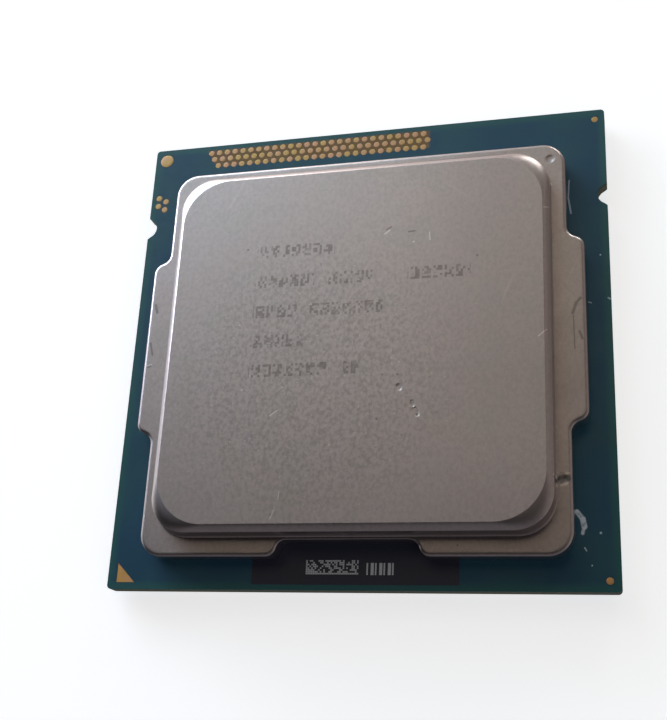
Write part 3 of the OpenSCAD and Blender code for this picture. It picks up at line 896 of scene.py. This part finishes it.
def lid_material():
    n = Nodes("satin_nickel")
    x, y, _ = n.split(n.mm)
    upright = n.split(n.normal)[2]
    facing = n.ramp(upright, 0.90, 0.99)
    stain = n.noise(0.42, 3, 0.6)
    grain = n.noise(3.6, 4, 0.72, stretch=(1.0, 0.75, 1.0))
    # The grain is coarsest in the middle left and fades to the right and rear.
    worked = n.plus(0.42, n.times(n.near_point((-3.0, -4.0), 5.0, 9.0), 0.58))
    pits = n.ramp(n.noise(4.5, 2, 0.6), 0.66, 0.78)
    glints = n.ramp(n.noise(5.2, 2, 0.6, stretch=(1.0, 1.0, 1.3)), 0.64, 0.76)
    greyer = n.ramp(n.noise(0.36, 2, 0.5, stretch=(1.0, 1.0, 2.0)), 0.5, 0.68, 0.0, 0.3)
    colour = n.mix(n.noise(0.10, 2, 0.5), (0.520, 0.475, 0.490), (0.555, 0.500, 0.505))
    colour = n.mix(n.ramp(stain, 0.42, 0.62, 0.0, 0.35), colour, (0.525, 0.455, 0.460))
    colour = n.mix(greyer, colour, (0.475, 0.470, 0.455))
    colour = n.mix(n.times(n.ramp(grain, 0.38, 0.66, 0.0, 0.85), worked), colour, (0.370, 0.335, 0.335))
    colour = n.mix(n.times(pits, worked, 0.7), colour, (0.25, 0.22, 0.215))
    colour = n.mix(n.times(glints, worked, 0.7), colour, (0.80, 0.75, 0.73))
    # Painted shade: the lid's colour darkens towards the right, except at the front, to stand in for the
    # room's light falling off on that side.
    painted_shade_right = n.times(n.ramp(x, 2.0, 12.0), n.ramp(y, -11.0, -3.0, 0.0, 0.22))
    colour = n.mix(painted_shade_right, colour, (0.26, 0.238, 0.240))
    # Painted light: the steep walls get a paler colour so that they read brighter than the dark flange they
    # mirror.
    painted_wall_light = n.ramp(upright, 0.15, 0.50, 0.7, 0.0)
    colour = n.mix(painted_wall_light, colour, (0.80, 0.755, 0.750))

    printed = n.times(n.dot_code(CODE_ROWS, *CODE_CELL), facing)
    faded = n.ramp(n.noise(1.3, 2), 0.30, 0.60, 0.30, 0.55)
    colour = n.mix(n.times(printed, faded), colour, (0.15, 0.135, 0.13))
    dents = n.strokes(DENTS)
    dark = n.union(n.spots(DARK_SPECKS), n.strokes(DARK_STROKES))
    light = n.strokes(LIGHT_STROKES)
    hair = n.union(n.scratches(2.2, 24, 0.69), n.scratches(1.7, -52, 0.71))
    scraped = n.times(n.near_segment(*GOUGE_FLOOR), n.ramp(n.noise(5.0, 3), 0.30, 0.50, 0.55, 0.95))
    colour = n.mix(scraped, colour, (0.185, 0.190, 0.210))
    colour = n.mix(n.times(dark, 0.55), colour, (0.13, 0.12, 0.12))
    colour = n.mix(n.times(n.union(light, n.times(hair, 0.15)), 0.7), colour, (0.84, 0.80, 0.78))

    # The flat faces are satin, and the coined edges and walls are burnished.
    satin = n.plus(n.ramp(stain, 0.3, 0.7, 0.37, 0.40), n.times(grain, 0.04))
    burnished = n.plus(0.26, n.times(grain, 0.06))
    roughness = n.plus(burnished, n.times(facing, n.minus(satin, burnished)))
    height = n.plus(n.times(grain, 0.6), n.times(n.noise(9.0, 2, 0.6), 0.4))
    depth = n.times(worked, n.plus(0.15, n.times(facing, 0.85)))
    normal = n.bump(n.times(height, depth), 0.020, 0.6)
    normal = n.bump(dents, -0.03, 0.6, normal)
    normal = n.bump(n.union(light, hair), -0.003, 0.5, normal)
    return n.finish(colour, roughness, normal, Metallic=1.0)


# Light marks in the upper solder mask.
MASK_CHIPS = [
    ((15.90, -13.25), (16.28, -13.75), 0.12, 0.10), ((16.28, -13.75), (16.38, -14.30), 0.14, 0.10),
    ((16.36, -14.30), (16.25, -14.75), 0.06, 0.10),
]
MASK_SCRATCHES = [
    ((15.94, 12.68), (15.85, 11.20), 0.02, 0.06), ((15.85, 11.20), (16.02, 9.85), 0.03, 0.06),
    ((17.13, 2.43), (17.31, 2.37), 0.02, 0.05), ((18.55, 2.69), (18.70, 2.60), 0.03, 0.06),
    ((16.36, -15.75), (16.48, -15.95), 0.02, 0.05),
]
MASK_SPOTS = [
    ((18.09, 6.21), 0.03, 0.06), ((16.82, -16.96), 0.02, 0.06), ((17.46, -14.73), 0.03, 0.09),
]
# The ground among the rear test pads: west edge of x + lean y, east, south and north edges, and the lean.
TEST_PAD_FIELD = (-3.98, 5.05, 16.62, 18.42, 0.556)
# Heights between the lower mask and the upper one, which alone has marks and bare ground.
MASK_DIVIDE = (0.9, 1.0)


def mask_material():
    n = Nodes("teal_solder_mask")
    x, y, z = n.split(n.mm)
    upper = n.ramp(z, *MASK_DIVIDE)
    edge = n.union(n.math("ABSOLUTE", x), n.math("ABSOLUTE", y))
    rim = n.ramp(edge, HALF_SUBSTRATE - 0.80, HALF_SUBSTRATE - 0.15)
    cloud = n.noise(0.22, 2, 0.5)
    colour = n.mix(n.ramp(cloud, 0.35, 0.65), (0.021, 0.068, 0.112), (0.026, 0.082, 0.108))
    colour = n.mix(rim, colour, (0.030, 0.105, 0.105))

    west, east, south, north, lean = TEST_PAD_FIELD
    leaning = n.plus(x, n.times(y, lean))
    among = n.times(n.ramp(leaning, west, west + 0.2), n.ramp(x, east - 0.3, east + 0.1, 1.0, 0.0),
                    n.ramp(y, south, south + 0.2), n.ramp(y, north - 0.2, north, 1.0, 0.0))
    beside = n.spots([((low.x / 2 + high.x / 2, low.y / 2 + high.y / 2), 0.26, 0.10)
                      for low, high in islands("left_test_pads")])
    ground = n.times(n.union(among, n.times(beside, 0.6)), upper)
    colour = n.mix(ground, colour, (0.205, 0.118, 0.036))

    speck = n.ramp(n.noise(6.0, 2, 0.5), 0.66, 0.82, 0.0, 0.20)
    colour = n.mix(speck, colour, (0.05, 0.10, 0.12))
    chips = n.times(n.strokes(MASK_CHIPS), n.ramp(n.noise(5.0, 3), 0.30, 0.55, 0.45, 1.0))
    worn = n.times(n.union(chips, n.times(n.strokes(MASK_SCRATCHES), 0.7), n.spots(MASK_SPOTS)), upper)
    colour = n.mix(n.times(worn, 0.8), colour, (0.72, 0.82, 0.88))
    roughness = n.plus(n.ramp(n.noise(1.6, 3), 0.3, 0.7, 0.30, 0.38), n.times(worn, 0.3))
    normal = n.bump(n.noise(1.1, 2), 0.010, 0.25)
    normal = n.bump(n.noise(14.0, 2), 0.003, 0.3, normal)
    normal = n.bump(worn, 0.012, 0.5, normal)
    return n.finish(colour, roughness, normal, Specular_IOR_Level=0.5, Specular_Tint=(0.55, 0.80, 1.0, 1))


def gold_material():
    """Gold plating that differs from pad to pad and is duller to the rear."""
    n = Nodes("gold_plating")
    redder = n.ramp(n.cell_value(1.4), 0.2, 0.8)
    bright = n.mix(redder, (0.74, 0.42, 0.13), (0.76, 0.41, 0.18))
    dull = n.mix(redder, (0.53, 0.35, 0.135), (0.56, 0.33, 0.20))
    colour = n.mix(n.ramp(n.split(n.mm)[1], -8.0, 10.0), bright, dull)
    colour = n.mix(n.ramp(n.noise(5.0, 3), 0.45, 0.8, 0.0, 0.35), colour, (0.52, 0.32, 0.12))
    roughness = n.ramp(n.noise(3.0, 3), 0.3, 0.7, 0.42, 0.58)
    return n.finish(colour, roughness, n.bump(n.noise(9.0, 3), 0.010, 0.5), Metallic=0.65)


def copper_material():
    n = Nodes("plain_copper")
    colour = n.mix(n.noise(1.5, 3), (0.70, 0.36, 0.22), (0.62, 0.29, 0.17))
    roughness = n.ramp(n.noise(4.0, 3), 0.3, 0.7, 0.3, 0.45)
    return n.finish(colour, roughness, n.bump(n.noise(8.0, 2), 0.004, 0.4), Metallic=1.0)


def laminate_material():
    """Cut glass-fibre cloth, with its plies showing in the edge."""
    n = Nodes("glass_fibre_laminate")
    ply = 0.11
    plies = n.math("SINE", n.times(n.split(n.mm)[2], 2 * pi / ply))
    weave = n.noise(7.0, 3, 0.6, stretch=(1.0, 1.0, 3.0))
    colour = n.mix(n.ramp(plies, -0.6, 0.9), (0.045, 0.055, 0.032), (0.090, 0.095, 0.055))
    colour = n.mix(n.ramp(weave, 0.4, 0.7, 0.0, 0.6), colour, (0.13, 0.13, 0.085))
    return n.finish(colour, n.ramp(weave, 0.3, 0.7, 0.45, 0.7), n.bump(weave, 0.02, 0.6))


def film_material():
    n = Nodes("build_up_film")
    cloud = n.noise(3.0, 3)
    colour = n.mix(cloud, (0.020, 0.045, 0.040), (0.030, 0.060, 0.050))
    return n.finish(colour, n.ramp(cloud, 0.3, 0.7, 0.4, 0.55), n.bump(n.noise(12.0, 2), 0.006, 0.5))


# Mottled finishes: dark and light colour, range of roughness, features per millimetre, depth and metallic.
PLAIN_FINISHES = {
    "tin_end_cap": ((0.55, 0.54, 0.52), (0.68, 0.67, 0.65), (0.30, 0.45), 4.0, 0.01, 1.0),
    "solder": ((0.52, 0.52, 0.52), (0.66, 0.66, 0.66), (0.22, 0.35), 5.0, 0.01, 1.0),
    "capacitor_ceramic": ((0.26, 0.17, 0.10), (0.36, 0.25, 0.16), (0.45, 0.6), 6.0, 0.008, 0.0),
    "black_ink": ((0.022, 0.025, 0.042), (0.030, 0.034, 0.052), (0.38, 0.5), 5.0, 0.006, 0.0),
    "grey_ink": ((0.50, 0.52, 0.54), (0.66, 0.68, 0.70), (0.45, 0.6), 8.0, 0.006, 0.0),
    "silicone": ((0.012, 0.012, 0.012), (0.02, 0.02, 0.02), (0.4, 0.55), 2.0, 0.02, 0.0),
    "paste": ((0.42, 0.43, 0.44), (0.52, 0.53, 0.54), (0.5, 0.7), 2.0, 0.02, 0.0),
    "silicon": ((0.06, 0.065, 0.075), (0.09, 0.095, 0.11), (0.08, 0.16), 1.0, 0.001, 0.0),
    "underfill_epoxy": ((0.02, 0.018, 0.02), (0.035, 0.03, 0.035), (0.2, 0.35), 2.0, 0.01, 0.0),
}


def plain_material(name, dark, light, rough, scale, depth, metallic):
    """A mottled, slightly uneven surface."""
    n = Nodes(name)
    cloud = n.noise(scale, 4, 0.6)
    return n.finish(n.mix(cloud, dark, light), n.ramp(cloud, 0.3, 0.7, *rough),
                    n.bump(n.noise(scale * 3, 3), depth, 0.6), Metallic=metallic)


def give(node, material):
    materials = nodes[node].data.materials
    materials.clear()
    materials.append(material)


# ---------------------------------------------------------------- finishes and pieces

lid_finish = lid_material()
gold = gold_material()
film = film_material()
mask = mask_material()
copper = copper_material()
plain = {name: plain_material(name, *row) for name, row in PLAIN_FINISHES.items()}
FINISHES = {
    "heat_spreader": lid_finish,
    "upper_solder_mask": mask,
    "lower_solder_mask": mask,
    "core_laminate": laminate_material(),
    "upper_build_up": film,
    "lower_build_up": film,
    "core_vias": copper,
    "upper_copper_plane": copper,
    "lower_copper_plane": copper,
    "marking_panel": plain["black_ink"],
    "traceability_cells": plain["grey_ink"],
    "lid_adhesive": plain["silicone"],
    "thermal_paste": plain["paste"],
    "silicon_die": plain["silicon"],
    "solder_bumps": plain["solder"],
    "underfill": plain["underfill_epoxy"],
}
for name in nodes:
    if name in FINISHES:
        give(name, FINISHES[name])
    elif name.endswith("bodies"):
        give(name, plain["capacitor_ceramic"])
    elif name.endswith("terminals"):
        give(name, plain["tin_end_cap"])
    elif name.endswith("solder"):
        give(name, plain["solder"])
    else:
        give(name, gold)

lid_mesh(lid_finish)
sealant_bead(plain["silicone"])
for side in ("front", "rear", "left", "right"):
    plates(side + "_contact_lands", side + "_lands", gold, 0.42, 0.006, face_down=True)
for cad_node in ("rear_test_pads", "left_test_pads", "large_fiducial", "small_fiducials"):
    plates(cad_node + "_plated", cad_node, gold, 0.999, 0.008, arc_steps=6)
for size, roll in (("large", 0.05), ("small", 0.035)):
    stem = size + "_capacitor_"
    blocks(stem + "ceramics", stem + "bodies", plain["capacitor_ceramic"], roll * 0.7)
    blocks(stem + "end_caps", stem + "terminals", plain["tin_end_cap"], roll)
    solder_joints(stem + "joints", stem + "solder", plain["solder"])

make_camera()
make_studio()
